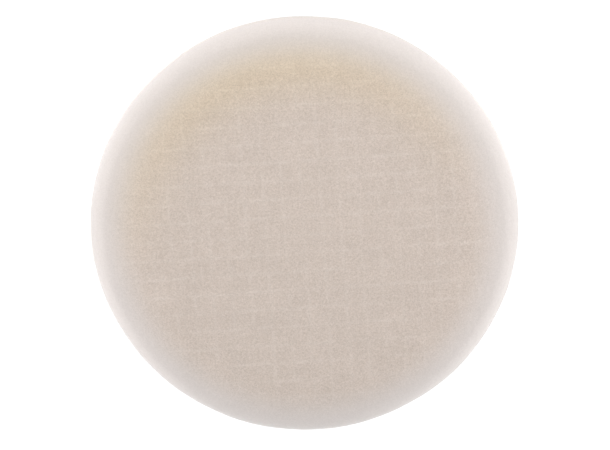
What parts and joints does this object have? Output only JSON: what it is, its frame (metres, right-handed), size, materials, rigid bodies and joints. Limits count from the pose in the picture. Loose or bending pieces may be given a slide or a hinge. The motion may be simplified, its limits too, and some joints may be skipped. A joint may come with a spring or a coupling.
{
  "type": "polishing pad",
  "caption": "Round foam polishing pad with a crowned working face, a soft rounded rim, sides that narrow to the back and a bonded loop backing.",
  "frame": {"origin": "centre of the loop backing's outer face, which grips the backing plate and which the pad lies on", "axes": "+Z along the pad's axis, from the loop backing to the working face; the pad is round, so X and Y are any two directions across it"},
  "size_m": [0.15, 0.15, 0.0276],
  "materials": {
    "polishing_foam": "open-cell polyurethane foam, sliced, fine cells, fully matte, warm grey beige",
    "hot_melt_film": "thin amber-cream hot-melt film, slightly glossy where it shows at the edge",
    "binder_resin": "thin off-white acrylic resin coat, satin",
    "nylon_knit": "warp-knitted nylon ground, off-white",
    "nylon_loops": "brushed nylon loops, off-white, soft sheen"
  },
  "bodies": {
    "root": {"foam_disc": "polishing_foam", "adhesive_film": "hot_melt_film", "binder_coat": "binder_resin", "ground_knit": "nylon_knit", "loop_pile": "nylon_loops"}
  },
  "joints": []
}
